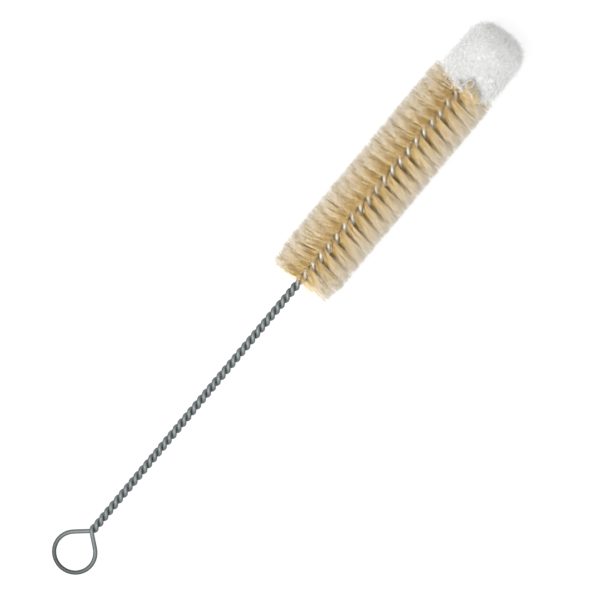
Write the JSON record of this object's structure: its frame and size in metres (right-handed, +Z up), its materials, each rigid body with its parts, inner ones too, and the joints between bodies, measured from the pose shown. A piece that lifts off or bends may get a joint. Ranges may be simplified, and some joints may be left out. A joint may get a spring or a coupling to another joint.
{
  "type": "bottle brush",
  "caption": "Twisted-wire bottle brush with a hanging loop, a spiral of natural bristles along the head and a soft white wool tip.",
  "frame": {"origin": "on the surface that the brush lies on, below the middle of its length", "axes": "+X along the wire towards the wool tip, +Y across the flat of the hanging loop, +Z up"},
  "size_m": [0.241, 0.0252, 0.0252],
  "materials": {
    "wire": "dull galvanised wire",
    "bristles": "natural bristle, tan at the root and pale at the ends",
    "wool_tip": "white curly fleece"
  },
  "bodies": {
    "root": {"wire": "wire", "bristles": "bristles", "wool_tip": "wool_tip"}
  },
  "joints": []
}
